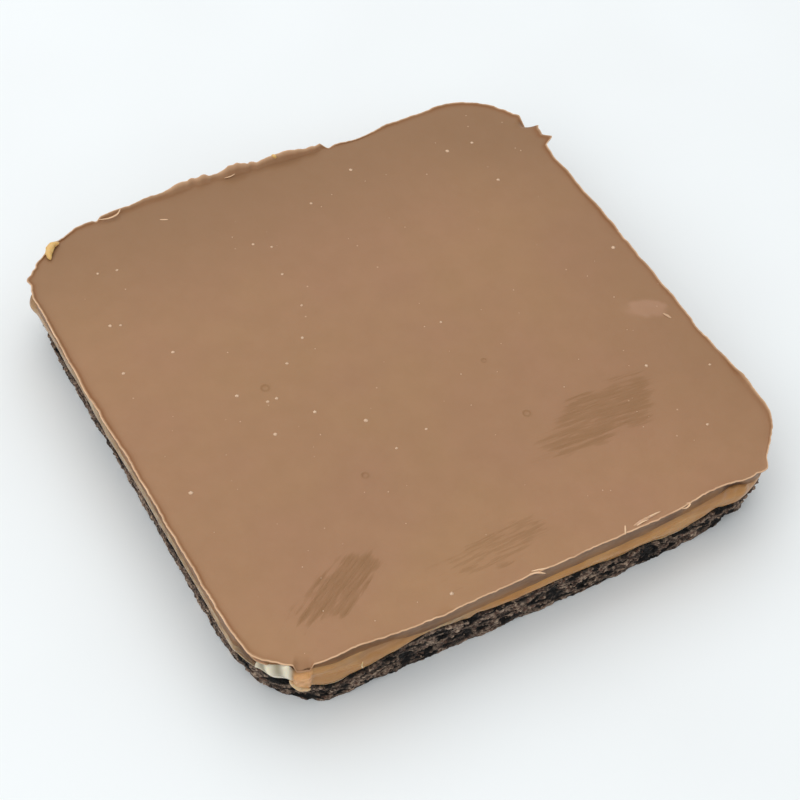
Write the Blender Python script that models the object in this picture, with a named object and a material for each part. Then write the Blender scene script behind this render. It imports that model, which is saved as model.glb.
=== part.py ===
"""Caramel brownie slab: a whole square traybake, turned out of its tin in one piece.

Three layers lie on each other, each one closed solid:
  brownie_base    dark, crumbly brownie, with a craggy side
  caramel_layer   set caramel, thick and thin along the side, as it ran into the brownie's hollows
  chocolate_top   milk chocolate, level on top, with the thin rim that it left up the tin's wall

Metres, +Z up. The origin is at the middle of the slab's foot, and the sides face along X and Y.
Each layer is a flat grid, wrapped round the slab row by row from its underside to its top and then capped.
"""

import math

import bmesh
import bpy
from mathutils import Vector, noise

MM = 0.001

# The tin sets the plan: a rounded square that narrows towards the foot.
SIDE = 150 * MM
CORNER_RADIUS = 19.7 * MM
FOOT_INSET = 2.9 * MM

# The layers, from the table up.
HEIGHT = 21.5 * MM
BROWNIE_DEPTH = 10 * MM
CHOCOLATE_DEPTH = 6 * MM
LAYER_GAP = 0.3 * MM

# Each joint between layers is wavy at the side and level this far in.
LEVEL_INSET = 6 * MM

# Facets round the slab, the rows up each layer's side, and the last rows of the top, drawn these shares of the
# way to the middle.
SEGMENTS = 224
BROWNIE_ROWS = 6
CARAMEL_ROWS = 4
CHOCOLATE_ROW_SHARES = (0.4, 0.8)
TOP_PULLS = (0.3, 0.6)

# The brownie's side: crumb that broke away in pits, with a worn lower edge, and an upper one set back under
# the caramel.
CRUMB_SIZE = 4.2 * MM
CRUMB_RELIEF = 0.9 * MM
PIT_SIZE = 6.7 * MM
PIT_DEPTH = 2.0 * MM
PIT_THRESHOLD = 0.2
SIDE_SETBACK = 0.3 * MM
FOOT_WEAR = 1.0 * MM
CREST_SETBACK = 0.9 * MM
EDGE_RELIEF = 0.4 * MM

# The caramel's side: smeared by the tin, so it is smoother, with rounded edges and a slight belly.
CARAMEL_BELLY = 0.5 * MM
CARAMEL_SETBACK = 0.4 * MM
CARAMEL_EDGE_SETBACK = 0.5 * MM
SMEAR_LENGTH = 14 * MM
SMEAR_STRETCH = 4
SMEAR_RELIEF = 0.35 * MM

# The chocolate's rim: a thin ridge that stands over the top and falls to it in a short hollow.
RIM_HEIGHT = 0.6 * MM
RIM_WIDTH = 0.9 * MM
RIM_ROUND = 0.1 * MM
RIM_FLAKE = 0.45 * MM
RIM_FLAKE_SIZE = 6 * MM
TOP_WAVE = 0.22 * MM
TOP_WAVE_SIZE = 32 * MM

# What makes the slab uneven, as (x, y, amount, reach): a place on its widest outline, how much it adds there,
# and how far away it fades. First the brownie's crest, which is the joint under the caramel.
CREST_WAVE = 0.7 * MM
CREST_WAVE_SIZE = 17 * MM
BROWNIE_CRESTS = (
    (-55 * MM, -75 * MM, -2.8 * MM, 9 * MM),
    (-32 * MM, -75 * MM, 4.2 * MM, 7 * MM),
    (-19 * MM, -75 * MM, 1.0 * MM, 5 * MM),
    (23 * MM, -75 * MM, -1.8 * MM, 6 * MM),
    (40 * MM, -75 * MM, -3.2 * MM, 9 * MM),
    (75 * MM, 12 * MM, 2.2 * MM, 15 * MM),
    (22 * MM, 75 * MM, -2.2 * MM, 12 * MM),
    (-28 * MM, 75 * MM, 2.0 * MM, 11 * MM),
    (-75 * MM, 41 * MM, -2.6 * MM, 9 * MM),
    (-75 * MM, 12 * MM, -1.8 * MM, 7 * MM),
)
# The caramel's crest, which is the joint under the chocolate.
CARAMEL_CRESTS = (
    (-58 * MM, -75 * MM, 4.4 * MM, 12 * MM),
    (-45 * MM, -75 * MM, 2.2 * MM, 8 * MM),
    (-8 * MM, -75 * MM, -1.3 * MM, 17 * MM),
    (26 * MM, -75 * MM, -1.5 * MM, 14 * MM),
    (49 * MM, -75 * MM, 3.8 * MM, 11 * MM),
    (-67 * MM, 69 * MM, 2.0 * MM, 6 * MM),
    (-20 * MM, 75 * MM, 1.2 * MM, 12 * MM),
    (75 * MM, -30 * MM, -0.9 * MM, 12 * MM),
    (-75 * MM, -12 * MM, 1.0 * MM, 14 * MM),
)
# Where the rim stands higher or is broken down: folded up along the back, full at the right-hand corner, and
# chipped at the near left one.
RIM_RISES = (
    (-35 * MM, 75 * MM, 0.9 * MM, 18 * MM),
    (-9 * MM, 75 * MM, 1.9 * MM, 4.5 * MM),
    (4 * MM, 75 * MM, 2.0 * MM, 7 * MM),
    (15 * MM, 75 * MM, 2.1 * MM, 4 * MM),
    (74 * MM, -54 * MM, 1.1 * MM, 12 * MM),
    (75 * MM, 30 * MM, 0.4 * MM, 16 * MM),
    (-75 * MM, 45 * MM, 0.5 * MM, 14 * MM),
    (-67 * MM, -71 * MM, -2.3 * MM, 6.5 * MM),
    (-52 * MM, -75 * MM, 0.9 * MM, 9 * MM),
    (46 * MM, -75 * MM, 0.9 * MM, 7 * MM),
)
# Where the chocolate's edge stands out or is chipped back.
RIM_BULGES = (
    (-73 * MM, -64 * MM, 0.8 * MM, 4 * MM),
    (-65 * MM, -73 * MM, 1.1 * MM, 4 * MM),
    (-53 * MM, -75 * MM, -0.9 * MM, 9 * MM),
    (47 * MM, -75 * MM, -0.8 * MM, 8 * MM),
    (-67 * MM, 69 * MM, -1.9 * MM, 6 * MM),
    (-60 * MM, 74 * MM, -1.6 * MM, 4 * MM),
    (69 * MM, -69 * MM, -1.5 * MM, 7 * MM),
    (-26 * MM, 75 * MM, 1.4 * MM, 18 * MM),
    (27 * MM, 75 * MM, -1.8 * MM, 12 * MM),
    (75 * MM, -29 * MM, -0.7 * MM, 4 * MM),
)
# Pointed flakes of chocolate at the corners, each rising straight to a sharp tip.
RIM_TEETH = (
    (74.5 * MM, 56 * MM, 2.6 * MM, 3.2 * MM),
    (75 * MM, 50 * MM, 4.2 * MM, 3.6 * MM),
    (72 * MM, 66 * MM, 1.0 * MM, 2.6 * MM),
    (-74 * MM, 62 * MM, 1.7 * MM, 3.2 * MM),
    (63 * MM, -74 * MM, 1.5 * MM, 3.0 * MM),
)
# At the near left corner the caramel's skin hangs over a hollow, beside the block of caramel that ran down.
CARAMEL_BULGES = (
    (-69 * MM, -70 * MM, 1.0 * MM, 4.5 * MM),
    (-60 * MM, -75 * MM, 1.4 * MM, 3.5 * MM),
    (-67 * MM, 69 * MM, 1.0 * MM, 5 * MM),
    (38 * MM, -75 * MM, 0.4 * MM, 12 * MM),
)
# Hollows half-way up the brownie's side, and one crumb that stands out from it.
BROWNIE_HOLLOWS = (
    (-66 * MM, -72 * MM, 2.2 * MM, 4.5 * MM),
    (-31 * MM, -75 * MM, 0.7 * MM, 9 * MM),
    (61 * MM, -74 * MM, -1.8 * MM, 2.4 * MM),
)
# Corners of the foot that are worn back.
FOOT_CHIPS = (
    (-69 * MM, -69 * MM, 1.7 * MM, 9 * MM),
    (-69 * MM, 69 * MM, 1.0 * MM, 8 * MM),
    (69 * MM, 69 * MM, 0.7 * MM, 8 * MM),
)


def bump(x, y, places):
    """What the listed places add at a point, each fading smoothly with distance."""
    return sum(
        amount * math.exp(-((x - at_x) ** 2 + (y - at_y) ** 2) / reach**2)
        for at_x, at_y, amount, reach in places
    )


def tooth(x, y, places):
    """As bump, but rising straight to a point."""
    return sum(
        amount * max(0, 1 - math.hypot(x - at_x, y - at_y) / reach)
        for at_x, at_y, amount, reach in places
    )


def around(share):
    """A point that share of the way round the slab's widest plan, and the direction that faces out there."""
    straight = SIDE - 2 * CORNER_RADIUS
    side, along = divmod(share * 4, 1)
    along *= straight + CORNER_RADIUS * math.pi / 2
    past_straight = max(0, along - straight)
    angle = past_straight / CORNER_RADIUS - math.pi / 2
    x = min(along, straight) - straight / 2 + CORNER_RADIUS * math.cos(angle)
    y = CORNER_RADIUS * (1 + math.sin(angle)) - SIDE / 2
    turn = side * math.pi / 2
    place = Vector((x * math.cos(turn) - y * math.sin(turn), x * math.sin(turn) + y * math.cos(turn)))
    return place, Vector((math.cos(angle + turn), math.sin(angle + turn)))


def wall_inset(z):
    """How far the tin's tapered wall lies in from the widest plan at a height."""
    return FOOT_INSET * (HEIGHT - z) / HEIGHT


def wave(x, y, z, size):
    """Smooth unevenness from -1 to 1, with hills about one size across."""
    return noise.noise(Vector((x, y, z)) / size)


def brownie_crest(x, y):
    """Height of the brownie's top edge at the side."""
    return BROWNIE_DEPTH + CREST_WAVE * wave(x, y, 0, CREST_WAVE_SIZE) + bump(x, y, BROWNIE_CRESTS)


def caramel_crest(x, y):
    """Height of the caramel's top edge at the side."""
    return HEIGHT - CHOCOLATE_DEPTH + bump(x, y, CARAMEL_CRESTS)


def crumb(x, y, z):
    """How far the brownie's side lies in at a point: crumb relief, pits where crumb came away, and chips."""
    relief = CRUMB_RELIEF * wave(x, y, z, CRUMB_SIZE)
    pit = max(0, wave(y, x, -z, PIT_SIZE) - PIT_THRESHOLD) / (1 - PIT_THRESHOLD)
    up = z / BROWNIE_DEPTH
    hollow = bump(x, y, BROWNIE_HOLLOWS) * (1 - abs(2 * up - 1))
    chip = bump(x, y, FOOT_CHIPS) * max(0, 1 - up)
    return relief + PIT_DEPTH * pit + hollow + chip


def brownie_edge_inset(x, y):
    """Inset of the joint line between brownie and caramel."""
    z = brownie_crest(x, y)
    ragged = EDGE_RELIEF * wave(x, y, z, CRUMB_SIZE)
    return wall_inset(z) + CREST_SETBACK + ragged + bump(x, y, BROWNIE_HOLLOWS) / 2


def caramel_edge_inset(x, y):
    """Inset of the joint line between caramel and chocolate."""
    return wall_inset(caramel_crest(x, y)) + CARAMEL_EDGE_SETBACK


def brownie_rings(x, y):
    """(inset, height) up the brownie, from the edge of its flat foot to its level middle."""
    crest = brownie_crest(x, y)
    ragged = EDGE_RELIEF * wave(x, y, 0, CRUMB_SIZE)
    rings = [(wall_inset(0) + FOOT_WEAR + ragged + bump(x, y, FOOT_CHIPS), 0)]
    for row in range(BROWNIE_ROWS):
        z = crest * (row + 1 / 3) / BROWNIE_ROWS
        rings.append((wall_inset(z) + SIDE_SETBACK + crumb(x, y, z), z))
    rings.append((brownie_edge_inset(x, y), crest))
    rings.append((LEVEL_INSET, BROWNIE_DEPTH))
    return rings


def caramel_rings(x, y):
    """(inset, height) round the caramel, from its level underside to its level top."""
    low = brownie_crest(x, y) + LAYER_GAP
    high = caramel_crest(x, y)
    rings = [(LEVEL_INSET, BROWNIE_DEPTH + LAYER_GAP), (brownie_edge_inset(x, y), low)]
    for row in range(CARAMEL_ROWS):
        share = (row + 1 / 2) / CARAMEL_ROWS
        z = low + (high - low) * share
        belly = CARAMEL_BELLY * math.sin(math.pi * share) + bump(x, y, CARAMEL_BULGES)
        smear = SMEAR_RELIEF * wave(x, y, SMEAR_STRETCH * z, SMEAR_LENGTH)
        rings.append((wall_inset(z) + CARAMEL_SETBACK - belly - smear, z))
    rings.append((caramel_edge_inset(x, y), high))
    rings.append((LEVEL_INSET, HEIGHT - CHOCOLATE_DEPTH))
    return rings


def chocolate_rings(x, y):
    """(inset, height) round the chocolate, from its level underside, over the rim and in across the top."""
    low = caramel_crest(x, y) + LAYER_GAP
    flake = RIM_FLAKE * wave(x, y, 0, RIM_FLAKE_SIZE)
    out = flake + bump(x, y, RIM_BULGES) + tooth(x, y, RIM_TEETH)
    rim = HEIGHT + RIM_HEIGHT + flake / 2 + bump(x, y, RIM_RISES)
    rings = [(LEVEL_INSET, HEIGHT - CHOCOLATE_DEPTH + LAYER_GAP), (caramel_edge_inset(x, y), low)]
    for share in CHOCOLATE_ROW_SHARES:
        z = low + (rim - low) * share
        rings.append((wall_inset(z) - share * out, z))
    rings.append((-RIM_ROUND - out, rim))
    rings.append((RIM_WIDTH - RIM_ROUND - out, rim - RIM_ROUND))
    rings.append((2 * RIM_WIDTH - out / 2, HEIGHT + (rim - HEIGHT) / 6))
    rings.append((5 * RIM_WIDTH, HEIGHT))
    rings.append((CORNER_RADIUS / 2, HEIGHT))
    return rings


def wrap(bm, rings_at, pulls):
    """Wraps a flat grid into a layer: its columns go round the slab, and its rows follow rings_at. Each of
    pulls adds a row at the last height, drawn that share of the way to the middle."""
    rows = len(rings_at(*around(0)[0])) + len(pulls)
    bmesh.ops.create_grid(bm, x_segments=SEGMENTS, y_segments=rows - 1, size=1)
    for vert in bm.verts:
        share = round((vert.co.x + 1) / 2 * SEGMENTS) / SEGMENTS % 1
        row = round((vert.co.y + 1) / 2 * (rows - 1))
        place, outward = around(share)
        rings = rings_at(*place)
        inset, z = rings[min(row, len(rings) - 1)]
        flat = place - outward * inset
        if row >= len(rings):
            flat *= 1 - pulls[row - len(rings)]
        vert.co = (flat.x, flat.y, z)
    bmesh.ops.remove_doubles(bm, verts=bm.verts, dist=0.01 * MM)
    bmesh.ops.holes_fill(bm, edges=[edge for edge in bm.edges if edge.is_boundary], sides=0)
    bmesh.ops.triangulate(bm, faces=bm.faces, quad_method="SHORT_EDGE")
    bmesh.ops.recalc_face_normals(bm, faces=bm.faces)


def wave_top(bm):
    """Lets the chocolate's top rise and fall a little, but not its side or rim."""
    for vert in bm.verts:
        if abs(vert.co.z - HEIGHT) < 0.01 * MM:
            vert.co.z += TOP_WAVE * wave(vert.co.x, vert.co.y, 0, TOP_WAVE_SIZE)


def finish(name, hex_colour, roughness):
    """A plain Principled material of the layer's own colour."""
    material = bpy.data.materials.new(name)
    material.use_nodes = True
    shader = material.node_tree.nodes["Principled BSDF"]
    channels = [int(hex_colour[i : i + 2], 16) / 255 for i in (0, 2, 4)]
    linear = [c / 12.92 if c <= 0.04045 else ((c + 0.055) / 1.055) ** 2.4 for c in channels]
    shader.inputs["Base Color"].default_value = (*linear, 1)
    shader.inputs["Roughness"].default_value = roughness
    shader.inputs["Metallic"].default_value = 0
    return material


def layer(collection, name, rings_at, material, pulls=()):
    """One layer of the slab as its own object."""
    bm = bmesh.new()
    wrap(bm, rings_at, pulls)
    if pulls:
        wave_top(bm)
    mesh = bpy.data.meshes.new(name)
    bm.to_mesh(mesh)
    bm.free()
    mesh.shade_smooth()
    mesh.set_sharp_from_angle(angle=math.radians(35))
    mesh.materials.append(material)
    collection.objects.link(bpy.data.objects.new(name, mesh))


def main():
    for old in list(bpy.data.objects):
        bpy.data.objects.remove(old)
    slab = bpy.data.collections.new("caramel_brownie_slab")
    bpy.context.scene.collection.children.link(slab)
    layer(slab, "brownie_base", brownie_rings, finish("brownie crumb", "2E2120", 0.7))
    layer(slab, "caramel_layer", caramel_rings, finish("set caramel", "B08348", 0.3))
    layer(slab, "chocolate_top", chocolate_rings, finish("milk chocolate", "A67E61", 0.45), TOP_PULLS)


main()
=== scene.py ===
"""Looks of the caramel brownie slab: a whole square traybake of brownie, set caramel and milk chocolate.

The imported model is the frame, and each layer's plain solid is replaced by the same form with its real
surface: torn crumb at the brownie's side, caramel smeared by the tin, and poured chocolate with a ragged rim.
What is too thin or small for the solids comes on top: pale specks, flakes, beads of caramel and crumbs.
"""

import math
import random

import bmesh
import bpy
from mathutils import Matrix, Vector, noise


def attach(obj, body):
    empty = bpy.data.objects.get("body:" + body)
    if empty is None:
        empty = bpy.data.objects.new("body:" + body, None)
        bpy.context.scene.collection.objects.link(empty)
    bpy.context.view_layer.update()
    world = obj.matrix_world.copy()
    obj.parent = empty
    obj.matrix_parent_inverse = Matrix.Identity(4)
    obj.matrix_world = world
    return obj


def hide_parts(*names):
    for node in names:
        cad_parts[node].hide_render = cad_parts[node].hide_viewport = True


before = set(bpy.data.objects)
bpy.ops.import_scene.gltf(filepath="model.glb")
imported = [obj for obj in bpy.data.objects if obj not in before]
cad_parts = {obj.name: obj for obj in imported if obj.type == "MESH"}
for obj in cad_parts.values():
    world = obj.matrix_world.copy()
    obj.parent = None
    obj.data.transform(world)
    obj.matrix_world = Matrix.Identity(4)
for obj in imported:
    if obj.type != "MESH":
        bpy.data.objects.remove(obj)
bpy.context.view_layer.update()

bl_info = {
    "name": "Caramel Brownie Slab",
    "version": (1, 0, 0),
    "blender": (4, 5, 0),
    "location": "3D View > Sidebar > Brownie",
    "description": "Dresses a whole slab of caramel brownie, layer by layer",
    "category": "Add Mesh",
}

MM = 0.001
BODY = "root"


def in_metres(*places):
    """Places given in millimetres, turned to metres."""
    return tuple(tuple(size * MM for size in place) for place in places)


# The slab's form, as in the frame. The tin sets the plan: a rounded square that narrows towards the foot.
SIDE = 150 * MM
CORNER_RADIUS = 19.7 * MM
FOOT_INSET = 2.9 * MM
HEIGHT = 21.5 * MM
BROWNIE_DEPTH = 10 * MM
CHOCOLATE_DEPTH = 6 * MM

# Each joint between layers is wavy at the side and level this far in.
LEVEL_INSET = 6 * MM

# The brownie's side.
CRUMB_SIZE = 4.2 * MM
CRUMB_RELIEF = 0.9 * MM
PIT_SIZE = 6.7 * MM
PIT_DEPTH = 2.0 * MM
PIT_THRESHOLD = 0.2
SIDE_SETBACK = 0.3 * MM
FOOT_WEAR = 1.0 * MM
CREST_SETBACK = 0.9 * MM
EDGE_RELIEF = 0.4 * MM
# These shares of the frame's coarse relief are kept, because finer crumbs come on top of it.
COARSE_SHARE = 0.5
PIT_SHARE = 0.6
# Pores and crumbs lie flat: they are this many times longer along the side than high.
PORE_FLATNESS = 3.2
CRUMB_FLATNESS = 1.7
# A pore starts where its wave passes the threshold. The cracks between crumbs have a share of the crumbs'
# relief as their depth, and a share of a crumb as their width.
PORE_THRESHOLD = 0.12
CRACK_SHARE = 0.6
CRACK_WIDTH = 0.22
# The crumb is worn smoother up to this height.
WORN_HEIGHT = 2.5 * MM
# Relief this deep is coloured as dark as a pore, partly the moist crumb's own dark and partly painted shade,
# and the crumb starts this far out from the frame's side.
DARK_DEPTH = 1.3 * MM
STANDS_OUT = 0.45 * MM
FOOT_PLATE_INSET = 2 * MM
CREST_TUCK = 0.6 * MM

# The caramel's side.
CARAMEL_SETBACK = 0.4 * MM
SMEAR_LENGTH = 14 * MM
SMEAR_STRETCH = 4
SMEAR_RELIEF = 0.35 * MM
ROUND_EDGE = 0.8 * MM
DENT_SIZE = 2.6 * MM
FOLD_SIZE = 3.2 * MM
# Behind the side a layer's hidden faces start this far in, and layers overlap by the lap, so no gap shows.
CARAMEL_TUCK_LOW = 1.2 * MM
CARAMEL_TUCK_HIGH = 2 * MM
CHOCOLATE_TUCK = 1.5 * MM
LAP = 0.1 * MM

# The chocolate's rim and top.
RIM_HEIGHT = 0.3 * MM
RIM_FLAKE = 0.45 * MM
RIM_FLAKE_SIZE = 6 * MM
RIM_DIP_REACH = 2.2 * MM
TOP_WAVE = 0.22 * MM
TOP_WAVE_SIZE = 32 * MM
BAND_SETBACK = 0.1 * MM
BAND_STREAK = 0.09 * MM
BAND_STREAK_SIZE = 1.1 * MM
# From where to where a rim counts as tall, and how long its changes of tone are.
TALL_RIM = (0.6 * MM, 1.8 * MM)
LIP_TONE_SIZE = 5 * MM
RIM_TONE_SIZE = 9 * MM

# The brownie's joint is wavy, and both joints have finer waves that only show here, as (height, size).
CREST_WAVE = 0.7 * MM
CREST_WAVE_SIZE = 17 * MM
BROWNIE_FINE_WAVE = (0.25 * MM, 3.1 * MM)
CARAMEL_FINE_WAVES = ((0.45 * MM, 5.3 * MM), (0.2 * MM, 1.9 * MM))

# What makes the slab uneven, as (x, y, amount, reach) in millimetres: a place on its widest outline, how much
# it adds there, and how far away it fades. Most of the large ones are in the frame too, some with another
# amount, and the small ones only show here.
BROWNIE_CRESTS = in_metres(
    (-55, -75, -2.8, 9), (-32, -75, 4.2, 7), (-19, -75, 1, 5), (23, -75, -1.8, 6), (40, -75, -3.2, 9),
    (75, 12, 2.2, 15), (22, 75, -2.2, 12), (-28, 75, 2, 11), (-75, 41, -2.6, 9), (-75, 12, -1.8, 7),
    (-72, -65, 3.2, 8.5), (-62, -74, 0.9, 3.5), (-67.6, -70.6, 2.4, 3), (-20.6, -75, -0.9, 1.2),
    (-18.4, -75, 0.6, 1.5), (50.5, -75, 1.4, 2.2), (56, -75, -0.9, 3), (17, -75, -1.1, 9),
)
CARAMEL_CRESTS = in_metres(
    (-58, -75, 4.9, 12), (-45, -75, 2.8, 8), (22, -75, 0.4, 12), (49, -75, 4.2, 11), (-73.5, -64, -2.2, 6),
    (-67, 69, 2, 6), (-20, 75, 1.2, 12), (75, -30, -0.9, 12), (-75, -12, 1, 14), (33, -75, 0.8, 4),
)
RIM_RISES = in_metres(
    (-35, 75, 0.9, 18), (-9, 75, 1.9, 4.5), (4, 75, 2, 7), (15, 75, 2.1, 4), (74, -54, 1.1, 12),
    (75, 30, 0.4, 16), (-75, 45, 0.5, 14), (-67, -71, -0.4, 6.5), (-29, -75, -0.9, 2.4),
    (-52, -75, 0.9, 9), (46, -75, 0.9, 7), (53, -75, 0.5, 4), (-49.6, 75, -0.6, 0.9), (-24, 75, 1.1, 5),
    (-18, 75, 1.2, 1.4), (-16.8, 75, 0.7, 1), (-10.3, 75, 0.9, 1.1), (-7.8, 75, 1.2, 1.5),
    (-5.4, 75, 1, 1.1), (-2.9, 75, 0.8, 1.1), (-0.9, 75, 0.3, 1.1), (10.8, 75, 0.5, 1.2),
    (16, 75, -0.6, 1.2), (74.6, 58.3, -2.8, 1.5), (7.6, 75, 1.1, 3), (12.8, 75, -0.6, 2),
    (19.5, 75, -1, 1.6),
)
RIM_BULGES = in_metres(
    (-72.4, -65, 0.9, 3.4), (-53, -75, -0.9, 9), (47, -75, -0.8, 8), (-67, 69, -1.9, 6),
    (-60, 74, -1.6, 4), (69, -69, -1.5, 7), (-26, 75, 1.4, 18), (27, 75, -1.8, 12), (75, -29, -0.7, 4),
    (75, 54.5, 2, 5), (-75, 22, 0.65, 26), (-49.6, 75, -0.4, 0.9),
)
RIM_TEETH = in_metres(
    (75, 56.2, 1.5, 1.3), (75, 50.2, 3, 2), (74.3, 61.8, 1, 1.3), (73, 66, 0.9, 1.3),
    (-74.2, 62.6, 1.5, 1.9), (-71.2, 66, -0.8, 1.3), (63, -74, 1.5, 3), (-20.5, 75, 1, 1.6),
    (-3.6, 75, 0.9, 1.4), (17.5, 75, 1.1, 2), (-63.5, 73, 0.7, 1.3),
)
CARAMEL_BULGES = in_metres(
    (-69, -70, 1, 4.5), (-67, 69, 1, 5), (38, -75, 0.4, 12), (-73.7, 62, 1.5, 2.4),
)
# Where the chocolate's side has come away from the caramel in a gap, darkened with painted shade.
SIDE_GAPS = in_metres((54, -75, 1.3, 4.5))
# Where the caramel is folded.
CARAMEL_FOLDS = in_metres((53, -75, 1, 7), (-48, -75, 0.5, 6))
BROWNIE_HOLLOWS = in_metres(
    (-66, -72, 2.2, 4.5), (-31, -75, 0.7, 9), (60, -74, -1, 2.6), (-75, 57, 1.2, 5),
)
# Where a film of chocolate dulls the caramel: here the amount is a share.
CARAMEL_FILMS = (
    (-75 * MM, 30 * MM, 0.8, 34 * MM),
    (-75 * MM, -28 * MM, 0.8, 30 * MM),
    (-27 * MM, -75 * MM, 0.8, 8 * MM),
    (-73 * MM, -61 * MM, 0.6, 10 * MM),
)
FOOT_CHIPS = in_metres(
    (-69, -69, 2.5, 9), (-75, -58, 1.9, 7), (-69, 69, 1, 8), (-75, 57, 1.6, 5), (69, 69, 0.7, 8),
    (-76, 0, 0.6, 60), (10, -76, -1, 40), (62, -73, 1.6, 10),
)

# At the near left corner the skin of caramel and chocolate is torn. These stretches are distances along the
# outline, counted from where the front side's straight part starts and negative round the corner.
CORNER_FOLD = (-28.5 * MM, -20.2 * MM)
CORNER_CREAM = (-21.6 * MM, -12.1 * MM)
CORNER_HOLLOW = (-17.4 * MM, -11.2 * MM)
CORNER_BLOCK = (-11.4 * MM, -7.5 * MM)
PLEAT_LENGTH = 4.4 * MM
PLEAT_DEPTH = 0.5 * MM
SKIN_RISE = 3.4 * MM
BLOCK_OUT = 0.9 * MM
BLOCK_DIP = 2.4 * MM
HOLLOW_DEPTH = 3.4 * MM
HOLLOW_HEIGHTS = (8.2 * MM, 14.2 * MM)
GROOVE_DEPTH = 0.9 * MM
# How softly each of these stretches ends.
CORNER_FADE = 2 * MM
CREAM_FADE = 1.2 * MM
BLOCK_FADE = 0.35 * MM
DIP_FADE = 0.9 * MM
HOLLOW_FADE = 1.5 * MM

# Where something rubbed the top into streaks, as (x, y, turn in degrees, half length, half width, slant of
# its ends, strength).
SCUFFS = (
    (35.2 * MM, -41.2 * MM, -3, 18.5 * MM, 9.0 * MM, 0.9, 0.9),
    (-47.2 * MM, -57.8 * MM, 30.7, 12.5 * MM, 6.2 * MM, -0.5, 1.0),
    (-9.5 * MM, -64.6 * MM, 4, 16 * MM, 5.2 * MM, 0.5, 0.6),
)
# A small smear of paler chocolate, in the same form.
SMEARS = ((66.5 * MM, -17 * MM, -25, 5.5 * MM, 3.2 * MM, 0, 1.0),)
# Burst bubbles, as (x, y, radius) in millimetres.
BUBBLES = in_metres((-26.4, -31.9, 0.9), (-35.6, 3.2, 1.1), (19, -32.8, 1), (18.3, -13.1, 0.7))
# The top is cut finer this near to its marks, given as a length and as a share of a scuff's half length,
# where its edges are longer than LONG_EDGE. Nothing is marked near the rim.
BUBBLE_REACH = 5 * MM
SCUFF_REACH = 1.3
LONG_EDGE = 1.5 * MM
UNMARKED_EDGE = 3 * MM
TOP_LEVEL = HEIGHT - 1 * MM
BUBBLE_DEPTH = 0.12 * MM
# The pale specks that are largest, as (x, y, radius) in millimetres. Finer ones are strewn between them.
SPECKS = in_metres(
    (49, 58, 0.65), (57, 58, 0.55), (56, 42, 0.6), (21, 63, 0.6), (5, 56, 0.45), (-16, 49, 0.5),
    (-12, 46, 0.45), (-14, 36, 0.45), (-14.5, 24, 0.45), (-19.5, 14, 0.5), (-27, 8, 0.5), (-43, 4, 0.6),
    (-37, -1, 0.55), (-34.5, -1, 0.5), (-28, -9, 0.6), (-40, -11, 0.6), (-18, -17, 0.65), (-66, -18, 0.7),
    (-25, -71, 0.6), (70.5, 6, 0.65), (55, -33, 0.55), (70, -40, 0.5), (58, -56, 0.5), (-51, 24, 0.55),
    (-65, 23, 0.6), (-15.5, -28, 0.45), (-6, -26, 0.45), (15, 3, 0.4), (-59, 38, 0.45), (-61.5, 39, 0.55),
    (-52, 56, 0.45), (-57, 57, 0.45),
)
# Slivers of chocolate broken from the rim, each as its line of (x, y, height over the top) and its width.
FLAKES = (
    (((-6.5, -74.9, 0.7), (-4.4, -75.3, 0.7), (-2.6, -76.2, 0.3)), 0.5 * MM),
    (((-5.6, -74.4, 0.8), (-3.6, -74.9, 0.9), (-1.0, -75.3, 0.5)), 0.35 * MM),
    (((23.6, -73.9, 0.0), (27.0, -73.5, 0.1), (32.4, -73.2, 0.0)), 0.75 * MM),
    (((24.4, -74.2, 0.0), (26.0, -74.0, 0.2), (28.2, -73.9, 0.0)), 0.35 * MM),
    (((27.4, -73.5, 0.0), (29.6, -73.3, 0.2), (32.2, -73.2, 0.0)), 0.3 * MM),
    (((20.4, -75.2, 0.0), (20.7, -74.5, 1.2), (21.2, -73.6, 1.5)), 0.4 * MM),
    (((36.6, -74.6, -0.1), (38.3, -75.2, 0.1), (39.4, -74.9, 0.8), (38.5, -74.4, 0.8)), 0.4 * MM),
    (((-12.0, 74.6, 0.4), (-10.3, 74.4, 0.5), (-8.6, 74.6, 0.7)), 0.4 * MM),
    (((69.0, -19.9, 0.15), (69.6, -21.2, 0.2), (70.1, -22.3, 0.1)), 0.7 * MM),
    (((-34.3, 68.1, 0.0), (-33.2, 67.5, 0.05), (-32.2, 67.1, 0.0)), 0.35 * MM),
    (((-49.3, 74.2, 0.9), (-46.4, 73.6, 0.8), (-43.9, 73.8, 1.1), (-42.5, 74.9, 1.5)), 0.5 * MM),
    (((-73.6, -62.5, -1.2), (-72.4, -65.4, -2.0), (-70.6, -67.6, -2.4)), 0.7 * MM),
)
# Slivers of this width and less are so thin that they look pale, and their width varies over this length.
THIN_FLAKE = 0.45 * MM
SLIVER_ROUGHNESS = 0.8 * MM
# Caramel that was squeezed or torn off, as its line, its width, and its shares of bright caramel and of pale
# skin.
CARAMEL_BEADS = (
    (((-66.1, 66.5, 0.4), (-65.6, 68.7, 0.8), (-64, 70.6, 0.9), (-61.6, 71.2, 0.5)), 2.1 * MM, 1, 0),
    (((2.8, 75.6, 1.8), (3.4, 74.9, 2.1), (3.7, 74.3, 1.7)), 1.1 * MM, 1, 0),
    (
        ((-66.5, -70.3, -8.0), (-65.6, -71.2, -9.4), (-64.2, -72.2, -10.7), (-62.4, -73.2, -10.6)),
        1.5 * MM,
        0.3,
        0.35,
    ),
    (
        ((-50.6, -75.6, -3.9), (-50.8, -75.6, -5.6), (-50.5, -75.5, -6.8), (-49.9, -75.4, -6.7)),
        0.45 * MM,
        0.6,
        0.3,
    ),
)

# What the meshes carry for the materials to read.
CARAMEL_SHADES = ("up", "cream", "block", "pleat_hollow_shade", "film", "groove_shade")
CHOCOLATE_SHADES = ("lip", "side", "up", "warm")

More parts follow.
